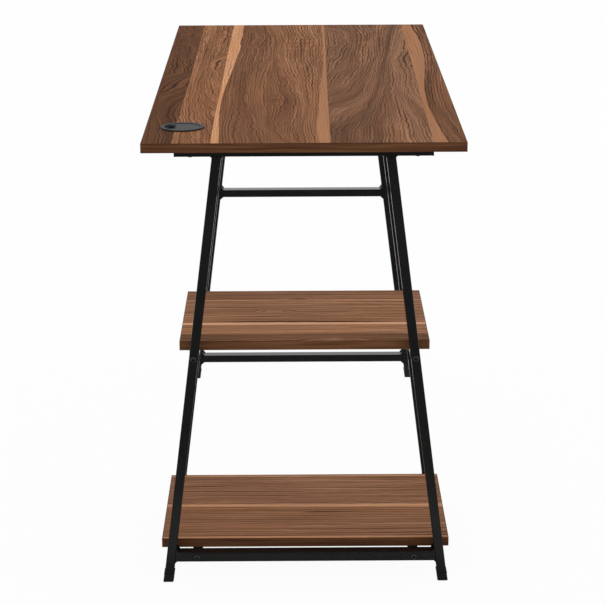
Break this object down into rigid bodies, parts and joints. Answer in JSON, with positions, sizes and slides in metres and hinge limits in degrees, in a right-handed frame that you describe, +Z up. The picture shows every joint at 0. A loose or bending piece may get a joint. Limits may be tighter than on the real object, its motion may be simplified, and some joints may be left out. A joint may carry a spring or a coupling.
{
  "type": "computer desk",
  "caption": "Computer desk with a wood-look top on black splayed steel frames, storage shelves at one end and a cable grommet.",
  "frame": {"origin": "on the floor, under the middle of the top", "axes": "+X along the desk to the seated user's right, +Y to the rear edge with the cable grommet, +Z up"},
  "size_m": [1.2, 0.5, 0.7402],
  "materials": {
    "walnut_board": "satin walnut laminate",
    "edge_band": "walnut print edge banding",
    "black_frame_steel": "satin black powder coat",
    "black_screw_steel": "black zinc",
    "zinc_steel": "zinc plated",
    "black_plastic": "moulded black",
    "grommet_plastic": "moulded charcoal"
  },
  "bodies": {
    "desk": {"desktop": "walnut_board", "desktop_front_band": "edge_band", "desktop_left_band": "edge_band", "desktop_rear_band": "edge_band", "desktop_right_band": "edge_band", "grommet_liner": "grommet_plastic", "left_frame_crossbar": "black_frame_steel", "left_frame_front_bar_plug": "black_plastic", "left_frame_front_foot_cap": "black_plastic", "left_frame_front_leg": "black_frame_steel", "left_frame_rear_bar_plug": "black_plastic", "left_frame_rear_foot_cap": "black_plastic", "left_frame_rear_leg": "black_frame_steel", "left_frame_top_bar": "black_frame_steel", "lower_front_rail": "black_frame_steel", "lower_rear_rail": "black_frame_steel", "lower_shelf": "walnut_board", "lower_shelf_bands": "edge_band", "middle_frame_crossbar": "black_frame_steel", "middle_frame_front_bar_plug": "black_plastic", "middle_frame_front_foot_cap": "black_plastic", "middle_frame_front_leg": "black_frame_steel", "middle_frame_rear_bar_plug": "black_plastic", "middle_frame_rear_foot_cap": "black_plastic", "middle_frame_rear_leg": "black_frame_steel", "middle_frame_top_bar": "black_frame_steel", "rail_blocks": "zinc_steel", "rail_bolts": "black_screw_steel", "right_frame_crossbar": "black_frame_steel", "right_frame_front_bar_plug": "black_plastic", "right_frame_front_foot_cap": "black_plastic", "right_frame_front_leg": "black_frame_steel", "right_frame_rear_bar_plug": "black_plastic", "right_frame_rear_foot_cap": "black_plastic", "right_frame_rear_leg": "black_frame_steel", "right_frame_top_bar": "black_frame_steel", "right_frame_upper_crossbar": "black_frame_steel", "shelf_screws": "black_screw_steel", "top_screws": "black_screw_steel", "upper_front_rail": "black_frame_steel", "upper_rear_rail": "black_frame_steel", "upper_shelf": "walnut_board", "upper_shelf_bands": "edge_band"},
    "cover": {"grommet_cover": "grommet_plastic"},
    "shutter": {"grommet_shutter": "grommet_plastic"}
  },
  "joints": [
    {"name": "cover_lift", "type": "slide", "parent": "desk", "child": "cover", "axis": [0, 0, 1], "range_m": [0, 0.03]},
    {"name": "shutter_slide", "type": "slide", "parent": "cover", "child": "shutter", "axis": [0, 1, 0], "range_m": [0, 0.0126]}
  ]
}
